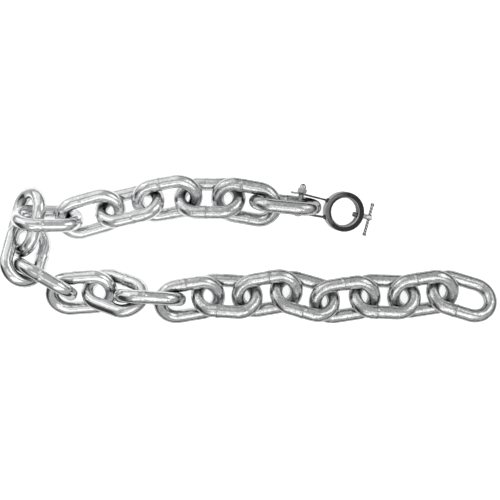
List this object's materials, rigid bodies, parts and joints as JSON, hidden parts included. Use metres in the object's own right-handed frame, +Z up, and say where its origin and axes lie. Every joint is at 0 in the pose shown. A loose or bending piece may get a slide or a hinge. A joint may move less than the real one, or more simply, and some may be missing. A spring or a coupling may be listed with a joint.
{
  "type": "steel chain",
  "caption": "Heavy welded steel chain laid slack in a U on a level floor, with a dark steel sleeve collar, a bolted fork and a T-handled clamp screw on one end.",
  "frame": {"origin": "middle of the laid chain's footprint, on the floor", "axes": "+X along the two runs from the turn towards the collar and the free end, +Z up"},
  "size_m": [0.8847, 0.2663, 0.0951],
  "materials": {
    "galvanised_steel": "bright zinc-coated steel, slightly mottled",
    "dark_steel": "dark oxide-finished steel, satin",
    "arm_steel": "bare flat bar, grey",
    "bright_plating": "bright zinc plating"
  },
  "bodies": {
    "chain": {"chain_link_01": "galvanised_steel", "chain_link_02": "galvanised_steel", "chain_link_03": "galvanised_steel", "chain_link_04": "galvanised_steel", "chain_link_05": "galvanised_steel", "chain_link_06": "galvanised_steel", "chain_link_07": "galvanised_steel", "chain_link_08": "galvanised_steel", "chain_link_09": "galvanised_steel", "chain_link_10": "galvanised_steel", "chain_link_11": "galvanised_steel", "chain_link_12": "galvanised_steel", "chain_link_13": "galvanised_steel", "chain_link_14": "galvanised_steel", "chain_link_15": "galvanised_steel", "chain_link_16": "galvanised_steel", "chain_link_17": "galvanised_steel", "chain_link_18": "galvanised_steel", "chain_link_19": "galvanised_steel", "chain_link_20": "galvanised_steel", "chain_link_21": "galvanised_steel", "collar_ring": "dark_steel", "fork_arm_upper": "arm_steel", "fork_arm_lower": "arm_steel", "fork_bolt": "bright_plating", "cap_nut": "bright_plating"},
    "clamp_screw": {"clamp_screw": "bright_plating"},
    "sliding_bar": {"sliding_bar": "bright_plating"}
  },
  "joints": [
    {"name": "clamp_screw_feed", "type": "slide", "parent": "chain", "child": "clamp_screw", "axis": [0.9643, -0.1874, -0.187], "range_m": [-0.0095, 0.0078]},
    {"name": "sliding_bar_slide", "type": "slide", "parent": "clamp_screw", "child": "sliding_bar", "axis": [0.2616, 0.9635, 0.057], "range_m": [-0.0155, 0.0235]}
  ]
}
